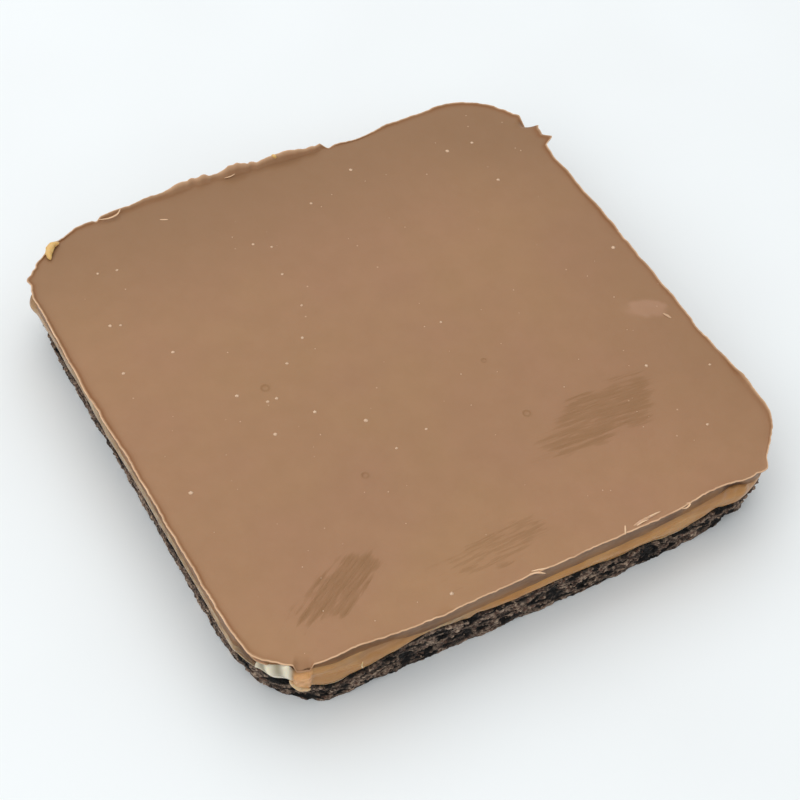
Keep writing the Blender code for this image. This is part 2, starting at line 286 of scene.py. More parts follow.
# Facets: columns round the slab, and rows up each layer's side.
BROWNIE_COLUMNS = 2000
BROWNIE_ROWS = 37
CARAMEL_COLUMNS = 1200
CARAMEL_ROWS = 26
CHOCOLATE_COLUMNS = 1200
BAND_ROWS = 12
TOP_ROWS = 22
MARK_CUTS = 9
# Points closer than this are one.
SAME_PLACE = 0.001 * MM
SLIVER_SIDES = 10
SLIVER_STEPS = 18

# The chocolate's rim in section, as (inset, drop from the crest, share of the pale lip at the front, and
# elsewhere, where the lip is wider).
LIP_SECTION = (
    (0.30, 0.95, 0.0, 0.0),
    (0.06, 0.60, 0.0, 0.0),
    (-0.10, 0.34, 0.2, 0.3),
    (-0.10, 0.12, 0.8, 1.0),
    (0.02, 0.00, 1.0, 1.0),
    (0.16, 0.03, 0.35, 0.5),
    (0.32, 0.14, 0.0, 0.2),
)
# From the rim's inner foot to the level top, as (inset, share of the rim's height, dip under the level top,
# and how much painted shade darkens the inner slope just inside the rim).
SLOPE_SECTION = (
    (0.50, 0.45, 0.00, 1.0),
    (0.74, 0.16, 0.01, 0.9),
    (1.10, 0.03, 0.03, 0.45),
    (1.70, 0.00, 0.03, 0.10),
    (2.80, 0.00, 0.01, 0.0),
    (4.60, 0.00, 0.00, 0.0),
    (7.00, 0.00, 0.00, 0.0),
    (9.85, 0.00, 0.00, 0.0),
)

# The camera looks down on the near left corner.
CAMERA_AZIMUTH = -33.75
CAMERA_ELEVATION = 50.04
CAMERA_ROLL = 5.748
CAMERA_DISTANCE = 484 * MM
CAMERA_TARGET = (-7.49 * MM, -15.40 * MM, 22 * MM)
CAMERA_LENS = 87.6
CAMERA_SENSOR = 36

# The room, and its soft lights as (name, place, side, power).
FLOOR_REACH = 3
ROOM_COLOUR = (0.965, 0.99, 1.0, 1)
ROOM_STRENGTH = 0.735
LIGHTS = (("softbox", (0.15, 0.75, 1.30), 1.4, 6.0), ("fill", (-0.75, -0.25, 0.85), 0.9, 3.0))

# What the random draws start from.
SPECK_SEED = 7
CRUMB_SEED = 11

# Painted shade on the top, standing in for less light towards the back and the right, as (x, y, start,
# length, share): the direction it darkens in, where that starts and over what length, and how much it adds.
BACK_SHADE_STEPS = (
    (0, 1, -80 * MM, 50 * MM, 0.25),
    (1, 0, -75 * MM, 50 * MM, 0.10),
    (0, 1, 25 * MM, 50 * MM, 0.62),
    (1, 0, 35 * MM, 45 * MM, 0.35),
)


def linear(hex_colour):
    """An sRGB hex colour as linear red, green and blue."""
    channels = [int(hex_colour[i : i + 2], 16) / 255 for i in (0, 2, 4)]
    return tuple(c / 12.92 if c <= 0.04045 else ((c + 0.055) / 1.055) ** 2.4 for c in channels)


def length_property(name, description, millimetres):
    """A length that the user can change, in metres."""
    return bpy.props.FloatProperty(
        name=name,
        description=description,
        default=millimetres * MM,
        min=0,
        precision=5,
        unit="LENGTH",
        subtype="DISTANCE",
    )


def colour_property(name, description, hex_colour):
    """A colour that the user can change."""
    return bpy.props.FloatVectorProperty(
        name=name,
        description=description,
        default=linear(hex_colour),
        min=0,
        max=1,
        size=3,
        subtype="COLOR",
    )


class SlabSizes(bpy.types.PropertyGroup):
    """Sizes of the finish on each layer."""

    lump_size: length_property("Crumb", "Width of one crumb on the brownie's torn side", 1.8)
    lump_relief: length_property("Crumb relief", "How far a crumb stands out from its neighbours", 0.55)
    slot_length: length_property("Pore", "Length of the flat pores in the brownie's side", 3.6)
    slot_depth: length_property("Pore depth", "How deep those pores are", 3.2)
    grain_size: length_property("Grain", "Size of the brownie's finest relief", 0.75)
    grain_relief: length_property("Grain relief", "Height of that finest relief", 0.3)
    belly: length_property("Belly", "How far the caramel bulges out at the side", 0.5)
    ripple_size: length_property("Ripple", "Height of the smears that the tin drew in the caramel", 1.6)
    ripple_relief: length_property("Ripple relief", "Depth of those smears", 0.05)
    band_recess: length_property("Band recess", "How far the chocolate's side lies in under its rim", 0.45)
    fleck_size: length_property("Fleck", "Size of the raggedness along the rim", 1.7)
    fleck_relief: length_property("Fleck relief", "Depth of that raggedness", 0.16)
    scuff_depth: length_property("Scuff depth", "How deep the rubbed streaks are", 0.10)
    scuff_pitch: length_property("Scuff pitch", "Distance between the rubbed streaks", 1.1)
    speck_radius: length_property("Speck", "Radius of the finest pale specks", 0.2)
    crumb_radius: length_property("Loose crumb", "Radius of the crumbs that cling to the side", 0.55)
    crumb_count: bpy.props.IntProperty(
        name="Loose crumbs", description="How many crumbs cling to the side", default=420, min=0
    )
    speck_count: bpy.props.IntProperty(
        name="Fine specks", description="How many fine specks lie between the large ones", default=90, min=0
    )


class SlabColours(bpy.types.PropertyGroup):
    """Colours of the layers."""

    chocolate: colour_property("Chocolate", "Milk chocolate on top", "AA815D")
    chocolate_warm: colour_property("Chocolate, warm", "Redder patches of the top", "A87C5F")
    # Painted shade: this colour darkens the top towards the back and the right, where less light falls. On
    # the chocolate's side it also tints random patches.
    chocolate_shade_and_patches: colour_property(
        "Chocolate, thick", "The deeper colour where the pour is thickest", "936F50"
    )
    # Painted shade on the inner slope just inside the rim, strongest at the back and sides and nearly none at
    # the front.
    chocolate_rim_shade: colour_property("Chocolate, rim", "Where the pour climbs the tin's wall", "86562F")
    chocolate_scuff: colour_property("Scuffed chocolate", "Where the top was rubbed", "87633F")
    chocolate_smear: colour_property("Smeared chocolate", "The paler smear near the edge", "B98F75")
    chocolate_side: colour_property("Chocolate side", "The band under the rim", "836144")
    # The side's real dark streaks and smears, and painted shade under the rim, in grooves and in gaps.
    chocolate_streaks_and_shade: colour_property("Chocolate, dark", "Streaks and hollows of the side", "553A2A")
    lip: colour_property("Lip", "The thin crest of the rim", "EFC6A0")
    speck: colour_property("Specks", "Pale specks of bloom", "EAC8AA")
    # On the torn corner's skin this pale colour is a painted reflection on glossy caramel, with painted
    # highlights on the pleats. It also gives the caramel's real pale thin edges.
    cream: colour_property("Pale skin", "The pleated skin at the torn corner", "E6DCC4")
    # Painted shade in the hollows between the pleats.
    cream_pleat_shade: colour_property("Pale skin, hollows", "The pleats' hollows", "7F7257")
    caramel: colour_property("Caramel", "Set caramel where it is thick", "AC7433")
    # The caramel's real streaks and stain, and painted shadow at the top of the cut block.
    caramel_stain_and_shade: colour_property("Caramel, dark", "Caramel stained by the chocolate over it", "94683D")
    caramel_light: colour_property("Caramel, light", "The caramel's thin edges", "CA9C61")
    caramel_film: colour_property("Caramel, dulled", "Caramel under a film of chocolate", "9C8463")
    caramel_bead: colour_property("Caramel, bead", "Caramel squeezed out and set on its own", "E8C07A")
    caramel_cut: colour_property("Caramel, cut", "The cut block at the torn corner", "E0AA76")
    # The moist crumb's own dark, also used as painted shade in pores, cracks and hollows.
    crumb_dark_and_shade: colour_property("Crumb, dark", "The brownie's moist, deep parts", "0E0907")
    crumb_light: colour_property("Crumb, light", "The brownie's dry crests", "C6AC95")
    crumb_brown: colour_property("Crumb, brown", "Browner, moister parts of the crests", "66483A")
    floor: colour_property("Floor", "The plain pale floor", "F4F7F8")


def bump(x, y, places):
    """What the listed places add at a point, each fading smoothly with distance."""
    return sum(
        amount * math.exp(-((x - at_x) ** 2 + (y - at_y) ** 2) / reach**2)
        for at_x, at_y, amount, reach in places
    )


def tooth(x, y, places):
    """As bump, but rising straight to a point."""
    return sum(
        amount * max(0, 1 - math.hypot(x - at_x, y - at_y) / reach)
        for at_x, at_y, amount, reach in places
    )


def wave(x, y, z, size):
    """Smooth unevenness from -1 to 1, with hills about one size across."""
    return noise.noise(Vector((x, y, z)) / size)


def smooth(value):
    """Eases a value from 0 up to 1."""
    value = max(0, min(1, value))
    return value * value * (3 - 2 * value)


def within(value, stretch, fade):
    """1 inside a stretch and 0 outside it, easing over the fade at each end."""
    start, end = stretch
    return smooth((value - start) / fade + 0.5) * smooth((end - value) / fade + 0.5)


def around(share):
    """A point that share of the way round the slab's widest plan, and the direction that faces out there."""
    straight = SIDE - 2 * CORNER_RADIUS
    side, along = divmod(share * 4, 1)
    along *= straight + CORNER_RADIUS * math.pi / 2
    past_straight = max(0, along - straight)
    angle = past_straight / CORNER_RADIUS - math.pi / 2
    x = min(along, straight) - straight / 2 + CORNER_RADIUS * math.cos(angle)
    y = CORNER_RADIUS * (1 + math.sin(angle)) - SIDE / 2
    turn = side * math.pi / 2
    place = Vector((x * math.cos(turn) - y * math.sin(turn), x * math.sin(turn) + y * math.cos(turn)))
    return place, Vector((math.cos(angle + turn), math.sin(angle + turn)))


def corner_run(x, y):
    """Distance along the outline from the start of the front side, negative round the near left corner."""
    centre = CORNER_RADIUS - SIDE / 2
    if x > centre:
        return x - centre if y < centre else SIDE
    if y > centre:
        return -SIDE
    return (math.atan2(y - centre, x - centre) + math.pi / 2) * CORNER_RADIUS


def wall_inset(z):
    """How far the tin's tapered wall lies in from the widest plan at a height."""
    return FOOT_INSET * (HEIGHT - z) / HEIGHT


def brownie_crest(x, y):
    """Height of the joint between brownie and caramel at the side."""
    height, size = BROWNIE_FINE_WAVE
    broad = CREST_WAVE * wave(x, y, 0, CREST_WAVE_SIZE)
    return BROWNIE_DEPTH + broad + bump(x, y, BROWNIE_CRESTS) + height * wave(x, y, SIDE, size)


def caramel_crest(x, y):
    """Height of the joint between caramel and chocolate at the side."""
    (height, size), (fine_height, fine_size) = CARAMEL_FINE_WAVES
    fine = height * wave(x, y, -SIDE, size) + fine_height * wave(x, y, -2 * SIDE, fine_size)
    skin = SKIN_RISE * within(corner_run(x, y), CORNER_CREAM, CORNER_FADE)
    return HEIGHT - CHOCOLATE_DEPTH + bump(x, y, CARAMEL_CRESTS) + fine + skin


def corner_cave(x, y):
    """How far the brownie is hollowed out under the torn corner's skin."""
    return HOLLOW_DEPTH * within(corner_run(x, y), CORNER_HOLLOW, CORNER_FADE)


def torn_crumb(sizes, x, y, z):
    """The brownie's side at a point: how far it lies in, and how deep for its surroundings, 0 to 1, which
    darkens its colour, partly as the moist crumb's own dark and partly as painted shade.
    """
    relief = COARSE_SHARE * CRUMB_RELIEF * wave(x, y, z, CRUMB_SIZE)
    pit = PIT_SHARE * PIT_DEPTH * max(0, wave(y, x, -z, PIT_SIZE) - PIT_THRESHOLD) / (1 - PIT_THRESHOLD)
    up = z / BROWNIE_DEPTH
    hollow = bump(x, y, BROWNIE_HOLLOWS) * max(0, 1 - abs(2 * up - 1))
    chip = bump(x, y, FOOT_CHIPS) * max(0, 1 - up)
    cave = corner_cave(x, y) * within(z, HOLLOW_HEIGHTS, HOLLOW_FADE)
    pore = sizes.slot_depth * max(0, wave(x, y, PORE_FLATNESS * z + SIDE, sizes.slot_length) - PORE_THRESHOLD)
    distances, cells = noise.voronoi(Vector((x, y, CRUMB_FLATNESS * z)) / sizes.lump_size)
    facet = sizes.lump_relief * noise.noise(3.7 * cells[0])
    crack = CRACK_SHARE * sizes.lump_relief * max(0, 1 - (distances[1] - distances[0]) / CRACK_WIDTH)
    grain = sizes.grain_relief * wave(x, y, 1.5 * z, sizes.grain_size)
    fine = (0.35 + 0.65 * smooth(z / WORN_HEIGHT)) * (pore + facet + crack + grain)
    # Deeper relief is coloured darker: partly the crumb's moist interior, partly painted shade in pores,
    # cracks and hollows.
    deep = 0.2 + (0.3 * relief + pit + cave + 2 * pore + 0.8 * facet + crack + 1.2 * grain) / DARK_DEPTH
    return relief + pit + hollow + chip + cave + fine - STANDS_OUT, deep


def brownie_edge_inset(x, y):
    """Inset of the joint line between brownie and caramel."""
    z = brownie_crest(x, y)
    ragged = EDGE_RELIEF * wave(x, y, z, CRUMB_SIZE)
    return wall_inset(z) + CREST_SETBACK + ragged + bump(x, y, BROWNIE_HOLLOWS) / 2


def brownie_profile(sizes, x, y):
    """Points (inset, z, pull, deep) from the middle of the underside, up the side and in to the middle."""
    crest = brownie_crest(x, y)
    grain = sizes.grain_relief * wave(x, y, 0, sizes.grain_size)
    ragged = EDGE_RELIEF * wave(x, y, 0, CRUMB_SIZE) + 0.5 * grain
    foot = wall_inset(0) + FOOT_WEAR + ragged + bump(x, y, FOOT_CHIPS)
    points = [(foot + FOOT_PLATE_INSET, 0, pull, 0.4) for pull in (1, 0.75, 0.5, 0.25, 0.1, 0)]
    points.append((foot, 0, 0, 0.5))
    for row in range(BROWNIE_ROWS):
        z = crest * (row + 0.5) / BROWNIE_ROWS
        inset, deep = torn_crumb(sizes, x, y, z)
        points.append((wall_inset(z) + SIDE_SETBACK + inset, z, 0, deep))
    points.append((brownie_edge_inset(x, y) + CREST_TUCK + corner_cave(x, y), crest, 0, 0.9))
    points.append((LEVEL_INSET, BROWNIE_DEPTH, 0, 1))
    points.append((LEVEL_INSET, BROWNIE_DEPTH, 1, 1))
    return points


def torn_corner(x, y):
    """How strongly the pleated skin, the fold and the cut block show at a point of the outline, and how far
    round the pleats' wave has turned there."""
    run = corner_run(x, y)
    skin = within(run, CORNER_CREAM, CREAM_FADE)
    fold = within(run, CORNER_FOLD, CORNER_FADE) * (1 - skin)
    block = within(run, CORNER_BLOCK, BLOCK_FADE)
    turn = 2 * math.pi * (run - CORNER_CREAM[1]) / PLEAT_LENGTH + 1.5 * wave(x, y, 0, 2 * PLEAT_LENGTH)
    return skin, fold, block, turn


def caramel_profile(sizes, x, y):
    """Points (inset, z, pull, and the shades up, cream, block, valley, film and stain) round the caramel,
    from its underside to its upper side."""
    low = brownie_crest(x, y)
    high = caramel_crest(x, y)
    skin, fold, block, turn = torn_corner(x, y)
    film = min(1, bump(x, y, CARAMEL_FILMS))
    shades = (0, 0, 0, film, 0)
    edge = brownie_edge_inset(x, y) - bump(x, y, BROWNIE_HOLLOWS) / 2
    points = [
        (LEVEL_INSET, BROWNIE_DEPTH, 1, 0, *shades),
        (LEVEL_INSET, BROWNIE_DEPTH, 0, 0, *shades),
        (edge + CARAMEL_TUCK_LOW, low + LAP, 0, 0, *shades),
    ]
    for row in range(CARAMEL_ROWS):
        share = row / (CARAMEL_ROWS - 1)
        z = low + (high - low) * share
        round_edge = math.sin(math.pi * min(1, 0.02 + share * 0.96)) ** 0.35
        setback = (1 - round_edge) * ROUND_EDGE
        belly = sizes.belly * math.sin(math.pi * share) + bump(x, y, CARAMEL_BULGES)
        smear = SMEAR_RELIEF * wave(x, y, SMEAR_STRETCH * z, SMEAR_LENGTH)
        ripple = sizes.ripple_relief * wave(x / 6, y / 6, z, sizes.ripple_size)
        dent = 2 * sizes.ripple_relief * wave(x, y, z, DENT_SIZE)
        pleat = math.cos(turn + 1.8 * share)
        pleats = skin * PLEAT_DEPTH * pleat * smooth(1.5 * share)
        cut = block * BLOCK_OUT * smooth(3 - 3 * share)
        groove = fold * within(share, (0.22, 2), 0.2)
        folds = bump(x, y, CARAMEL_FOLDS) * wave(x, y, z / 2, FOLD_SIZE) * (1 - block)
        out = belly + smear + ripple + dent + folds + pleats + cut - groove * GROOVE_DEPTH
        # The skin's pale colour is a painted reflection, and its pleats' valleys get painted shade.
        cream = max(skin, fold * within(share, (-1, 0.16), 0.12))
        pleat_hollow_shade = skin * (0.5 - 0.5 * pleat) * smooth(2.2 * share)
        shades = (share, cream, block, pleat_hollow_shade, film, groove)
        points.append((wall_inset(z) + CARAMEL_SETBACK + setback - out, z, 0, *shades))
    points.append((wall_inset(high) + CARAMEL_TUCK_HIGH, high, 0, *shades))
    points.append((LEVEL_INSET, HEIGHT - CHOCOLATE_DEPTH, 0, *shades))
    points.append((LEVEL_INSET, HEIGHT - CHOCOLATE_DEPTH, 1, *shades))
    return points


def behind_front(y):
    """0 along the front side and 1 from the front corners' ends on."""
    return smooth((y + SIDE / 2) / CORNER_RADIUS)


def rim_at(sizes, x, y):
    """How far the chocolate's rim stands out past the widest plan, and the height of its crest."""
    flake = RIM_FLAKE * wave(x, y, 0, RIM_FLAKE_SIZE) * (0.45 + 0.55 * behind_front(y))
    fine = sizes.fleck_relief * wave(x, y, SIDE, sizes.fleck_size)
    finest = 0.6 * sizes.fleck_relief * wave(x, y, -SIDE, sizes.fleck_size / 2.4)
    out = flake + fine + finest + bump(x, y, RIM_BULGES) + tooth(x, y, RIM_TEETH)
    rough = 0.7 * sizes.fleck_relief * wave(x, y, 2 * SIDE, sizes.fleck_size)
    dip = BLOCK_DIP * within(corner_run(x, y), CORNER_BLOCK, DIP_FADE)
    return out, HEIGHT + RIM_HEIGHT + flake / 2 + rough + bump(x, y, RIM_RISES) - dip


def top_height(x, y):
    """Height of the chocolate's level top, which rises and falls a little."""
    return HEIGHT + TOP_WAVE * wave(x, y, 0, TOP_WAVE_SIZE)


def shade_towards_back(x, y):
    """How strongly painted shade darkens the top at a point, from 0 to 1, more towards the back and the
    right.
    """
    steps = (
        share * smooth((x * to_x + y * to_y - start) / length)
        for to_x, to_y, start, length, share in BACK_SHADE_STEPS
    )
    return min(1, sum(steps))


def chocolate_profile(sizes, x, y):
    """Points (inset, z, pull, and the shades lip, side, up and warm) from the underside, up the band, over
    the rim and in."""
    low = caramel_crest(x, y)
    out, rim = rim_at(sizes, x, y)
    fold, block = torn_corner(x, y)[1:3]
    points = [
        (LEVEL_INSET, HEIGHT - CHOCOLATE_DEPTH, 1, 0, 1, 0, 0),
        (LEVEL_INSET, HEIGHT - CHOCOLATE_DEPTH, 0, 0, 1, 0, 0),
        (wall_inset(low) + CHOCOLATE_TUCK, low - LAP, 0, 0, 1, 0, 0),
    ]
    gap = bump(x, y, SIDE_GAPS)
    band_top = rim - LIP_SECTION[0][1] * MM
    for row in range(BAND_ROWS):
        share = row / BAND_ROWS
        z = low + (band_top - low) * share
        recess = sizes.band_recess * math.sin(math.pi * share) ** 0.5 + BAND_SETBACK
        streak = BAND_STREAK * wave(x / 5, y / 5, z, BAND_STREAK_SIZE)
        groove = GROOVE_DEPTH * fold * within(share, (-1, 0.85), 0.2) + gap * within(share, (-0.2, 0.9), 0.3)
        inset = wall_inset(z) + recess - share * out - streak + groove
        # A groove gets the same painted shade as the strip under the rim.
        up = max(share, min(1, 0.93 * groove / GROOVE_DEPTH))
        points.append((inset, z, 0, 0, 1, up, 0))
    rise = max(0, rim - HEIGHT)
    tall = smooth((rise - TALL_RIM[0]) / (TALL_RIM[1] - TALL_RIM[0]))
    behind = behind_front(y)
    lip_share = (1 - 0.8 * block) * (0.75 + 0.5 * wave(x, y, 3 * SIDE, LIP_TONE_SIZE))
    # Painted shade on the rim's inner slope, fading out along the front side.
    rim_shading = behind * (0.8 + 0.4 * wave(x, y, 4 * SIDE, RIM_TONE_SIZE))
    for inset, drop, front_lip, lip in LIP_SECTION:
        under = 1 if drop > 0.5 else 0
        pale = (front_lip + (lip - front_lip) * behind) * lip_share
        # Painted light: a tall rim's inner face is lightened towards the lip's colour, for light that shines
        # through the thin rim from behind.
        lit_face = 0.55 * tall * (inset > 0) * (1 - under)
        points.append((inset * MM - out, rim - drop * MM, 0, max(pale, lit_face), under, 1, 0))
    for inset, share, dip, warm in SLOPE_SECTION:
        level = HEIGHT if rim > HEIGHT else rim + (HEIGHT - rim) * smooth(inset * MM / RIM_DIP_REACH)
        level += (top_height(x, y) - HEIGHT) * smooth(inset / 5)
        wide = 1 + 0.5 * tall * share
        fade = max(0, 1 - inset / 4)
        z = level + rise * share - dip * MM
        # Painted light on a tall rim's inner face, as above.
        lit_face = tall * max(0, 1.1 - inset)
        points.append((inset * wide * MM - out * fade, z, 0, 0.35 * lit_face, 0, 1, warm * rim_shading * (1 - lit_face)))
    last = SLOPE_SECTION[-1][0] * MM
    for row in range(1, TOP_ROWS + 1):
        points.append((last, HEIGHT, row / TOP_ROWS, 0, 0, 1, 0))
    return points


def wrap(sizes, columns, profile_at, shades):
    """A mesh from a flat grid, wrapped round the slab. Each of its columns follows the points that profile_at
    gives there: an inset, a height, a pull towards the middle, and a value for each of shades."""
    stations = [around(column / columns) for column in range(columns)]
    profiles = [profile_at(sizes, *place) for place, _ in stations]
    rows = len(profiles[0])
    bm = bmesh.new()
    layers = [bm.verts.layers.float.new(name) for name in shades]
    bmesh.ops.create_grid(bm, x_segments=columns, y_segments=rows - 1, size=1)
    for vert in bm.verts:
        column = round((vert.co.x + 1) / 2 * columns) % columns
        row = round((vert.co.y + 1) / 2 * (rows - 1))
        place, outward = stations[column]
        inset, z, pull, *values = profiles[column][row]
        flat = (place - outward * inset) * (1 - pull)
        vert.co = (flat.x, flat.y, z)
        for layer, value in zip(layers, values):
            vert[layer] = value
    edge = [vert for vert in bm.verts if vert.is_boundary]
    bmesh.ops.remove_doubles(bm, verts=edge, dist=SAME_PLACE)
    bmesh.ops.recalc_face_normals(bm, faces=bm.faces)
    return bm


def mark_at(x, y, marks, pitch):
    """How strongly scuffs or smears show at a point, and how far along and across the strongest it lies."""
    strongest = (0, 0, 0)
    for at_x, at_y, turn, half_length, half_width, slant, strength in marks:
        turn = math.radians(turn)
        along = (x - at_x) * math.cos(turn) + (y - at_y) * math.sin(turn)
        across = (y - at_y) * math.cos(turn) - (x - at_x) * math.sin(turn)
        reach = (abs((along - slant * across) / half_length) ** 3 + abs(across / half_width) ** 3) ** (1 / 3)
        if reach < 1.7:
            streak = wave(along / 14, across, at_x, pitch)
            ragged = 0.22 * streak + 0.3 * wave(along, across, at_y, 0.7 * half_width)
            inside = smooth((1.1 + ragged - reach) / 0.5)
            strongest = max(strongest, (strength * inside * (0.85 + 0.3 * streak), along, across))
    return strongest


def near_mark(x, y):
    """Whether a point is so near a bubble, a scuff or the smear that the top is cut finer there."""
    if any(math.hypot(x - at_x, y - at_y) < BUBBLE_REACH for at_x, at_y, _ in BUBBLES):
        return True
    return any(math.hypot(x - m[0], y - m[1]) < SCUFF_REACH * m[3] for m in SCUFFS + SMEARS)


def mark_top(bm, sizes):
    """Cuts the top finer where it is marked, and presses the scuffs, the smear and the bubbles into it."""
    long_edges = [
        edge
        for edge in bm.edges
        if edge.verts[0].co.z > TOP_LEVEL
        and edge.calc_length() > LONG_EDGE
        and all(near_mark(vert.co.x, vert.co.y) for vert in edge.verts)
    ]
    bmesh.ops.subdivide_edges(bm, edges=long_edges, cuts=MARK_CUTS)
    names = ("far_shade", "smear", "scuff", "along", "across")
    painted_shade_layer, smear_layer, *scuff_layers = [bm.verts.layers.float.new(name) for name in names]
    for vert in bm.verts:
        x, y, z = vert.co
        inset = SIDE / 2 - max(abs(x), abs(y))
        # Painted shade, darker towards the back and the right.
        vert[painted_shade_layer] = shade_towards_back(x, y)
        if z < TOP_LEVEL or inset < UNMARKED_EDGE:
            continue
        if abs(z - HEIGHT) < SAME_PLACE:
            vert.co.z = top_height(x, y)
        scuff, along, across = mark_at(x, y, SCUFFS, sizes.scuff_pitch)
        smear = mark_at(x, y, SMEARS, 3 * sizes.scuff_pitch)[0]
        vert.co.z += (0.5 * smear - scuff) * sizes.scuff_depth
        for at_x, at_y, radius in BUBBLES:
            away = math.hypot(x - at_x, y - at_y) / radius
            if away < 2:
                vert.co.z += BUBBLE_DEPTH * (math.exp(-((away - 1) * 4) ** 2) * 0.6 - smooth(1.2 - away))
                scuff = max(scuff, 0.8 * math.exp(-((away - 0.9) * 3) ** 2))
        vert[smear_layer] = smear
        for layer, value in zip(scuff_layers, (scuff, along, across)):
            vert[layer] = value


def sliver(bm, line, width, flatness=0.35):
    """A sliver along a line of (x, y, height over the top) in millimetres, round in section and pointed. The
    line is a smooth curve through its points."""
    points = [Vector((x * MM, y * MM, HEIGHT + z * MM)) for x, y, z in line]
    spans = len(points) - 1
    made = bmesh.ops.create_grid(bm, x_segments=SLIVER_STEPS, y_segments=SLIVER_SIDES, size=1)["verts"]
    for vert in made:
        at = (vert.co.x + 1) / 2
        turn = (vert.co.y + 1) * math.pi
        span = min(int(at * spans), spans - 1)
        ease = at * spans - span
        before = points[max(span - 1, 0)]
        start, end = points[span], points[span + 1]
        after = points[min(span + 2, spans)]
        centre = 0.5 * (
            2 * start
            + (end - before) * ease
            + (2 * before - 5 * start + 4 * end - after) * ease**2
            + (3 * start - before - 3 * end + after) * ease**3
        )
        heading = (end - start).normalized()
        across = heading.cross(Vector((0, 0, 1))).normalized()
        up = across.cross(heading)
        taper = math.sin(math.pi * min(max(at, 0.0), 1.0)) ** 0.6
        rough = 1 + 0.25 * wave(centre.x, centre.y, turn * MM, SLIVER_ROUGHNESS)
        half = width / 2 * taper * rough
        vert.co = centre + across * math.cos(turn) * half + up * math.sin(turn) * half * flatness
    bmesh.ops.remove_doubles(bm, verts=made, dist=4 * SAME_PLACE)
    return [vert for vert in made if vert.is_valid]


def add_node(tree, kind, settings=(), links=()):
    """Adds a shader node. settings holds its properties and unlinked inputs, links the outputs it reads."""
    node = tree.nodes.new(kind)
    for name, value in dict(settings).items():
        if isinstance(name, str) and hasattr(node, name):
            setattr(node, name, value)
        else:
            node.inputs[name].default_value = value
    for name, output in dict(links).items():
        tree.links.new(output, node.inputs[name])
    return node


def start_material(name, subsurface=0.0, subsurface_radius=(1, 1, 1), specular=0.5):
    """A new material with only its Principled shader and Object coordinates. Food fats and sugars have an IOR
    near 1.45 to 1.5 and no metal in them."""
    material = bpy.data.materials.new(name)
    material.use_nodes = True
    tree = material.node_tree
    shader = tree.nodes["Principled BSDF"]
    shader.inputs["Metallic"].default_value = 0
    shader.inputs["IOR"].default_value = 1.46
    shader.inputs["Specular IOR Level"].default_value = specular
    shader.inputs["Subsurface Weight"].default_value = subsurface
    shader.inputs["Subsurface Radius"].default_value = subsurface_radius
    shader.inputs["Subsurface Scale"].default_value = 1 * MM
    place = add_node(tree, "ShaderNodeTexCoord").outputs["Object"]
    return material, tree, shader, place


def scaled_noise(tree, place, size, detail=2.0, stretch=(1, 1, 1), low=0.35, high=0.65):
    """Noise with hills about one size across, stretched along the axes and spread over 0 to 1."""
    mapped = add_node(tree, "ShaderNodeMapping", {"Scale": tuple(1 / s for s in stretch)}, {"Vector": place})
    grain = add_node(
        tree,
        "ShaderNodeTexNoise",
        {"Scale": 1 / size, "Detail": detail, "Roughness": 0.55},
        {"Vector": mapped.outputs[0]},
    )
    spread = add_node(
        tree, "ShaderNodeMapRange", {"From Min": low, "From Max": high}, {"Value": grain.outputs["Fac"]}
    )
    return spread.outputs[0]


def read_shade(tree, name, stretch=None):
    """A value that the mesh carries at its points. Of a stretch, the start becomes 0 and the end 1."""
    shade = add_node(tree, "ShaderNodeAttribute", {"attribute_name": name}).outputs["Fac"]
    if not stretch:
        return shade
    ends = {"From Min": stretch[0], "From Max": stretch[1]}
    return add_node(tree, "ShaderNodeMapRange", ends, {"Value": shade}).outputs[0]


def lay_coats(tree, colour, *coats):
    """Lays coats over a first colour. Each is its colour, its strength and the shares, multiplied together,
    that say where it shows. A colour is a linear colour or another node's output."""
    for coat, strength, amount, *shares in coats:
        for share in shares:
            both = add_node(tree, "ShaderNodeMath", {"operation": "MULTIPLY"}, {0: amount, 1: share})
            amount = both.outputs[0]
        weak = add_node(tree, "ShaderNodeMath", {"operation": "MULTIPLY", 1: strength}, {0: amount})
        settings, links = {"data_type": "RGBA"}, {0: weak.outputs[0]}
        for index, value in ((6, colour), (7, coat)):
            if isinstance(value, bpy.types.NodeSocket):
                links[index] = value
            else:
                settings[index] = (*value, 1)
        colour = add_node(tree, "ShaderNodeMix", settings, links).outputs[2]
    return colour


def set_finish(tree, shader, colour, rough_by, roughness, bumps):
    """Joins colour, roughness (from its first to its second value by rough_by) and stacked bumps."""
    tree.links.new(colour, shader.inputs["Base Color"])
    rough = add_node(
        tree, "ShaderNodeMapRange", {"To Min": roughness[0], "To Max": roughness[1]}, {"Value": rough_by}
    )
    tree.links.new(rough.outputs[0], shader.inputs["Roughness"])
    normal = {}
    for height, depth in bumps:
        bump_node = add_node(tree, "ShaderNodeBump", {"Distance": depth}, {"Height": height, **normal})
        normal = {"Normal": bump_node.outputs[0]}
    tree.links.new(normal["Normal"], shader.inputs["Normal"])


def chocolate_side(tree, place, colours):
    """The chocolate's side, where the tin held it: streaked along, stained by caramel below, and with painted
    shade under the rim and in its grooves and gaps."""
    band = scaled_noise(tree, place, 2.4 * MM, 3, (6, 6, 1))
    patches = scaled_noise(tree, place, 9 * MM, 3)
    return lay_coats(
        tree,
        colours.chocolate_side,
        (colours.chocolate_streaks_and_shade, 0.55, band),
        (colours.chocolate_shade_and_patches, 0.5, patches),
        (colours.caramel_stain_and_shade, 0.9, read_shade(tree, "up", (0.45, 0)), patches),
        # Painted shade: the top of the band, under the rim's overhang, and the grooves are darkened.
        (colours.chocolate_streaks_and_shade, 0.8, read_shade(tree, "up", (0.72, 1))),
    )


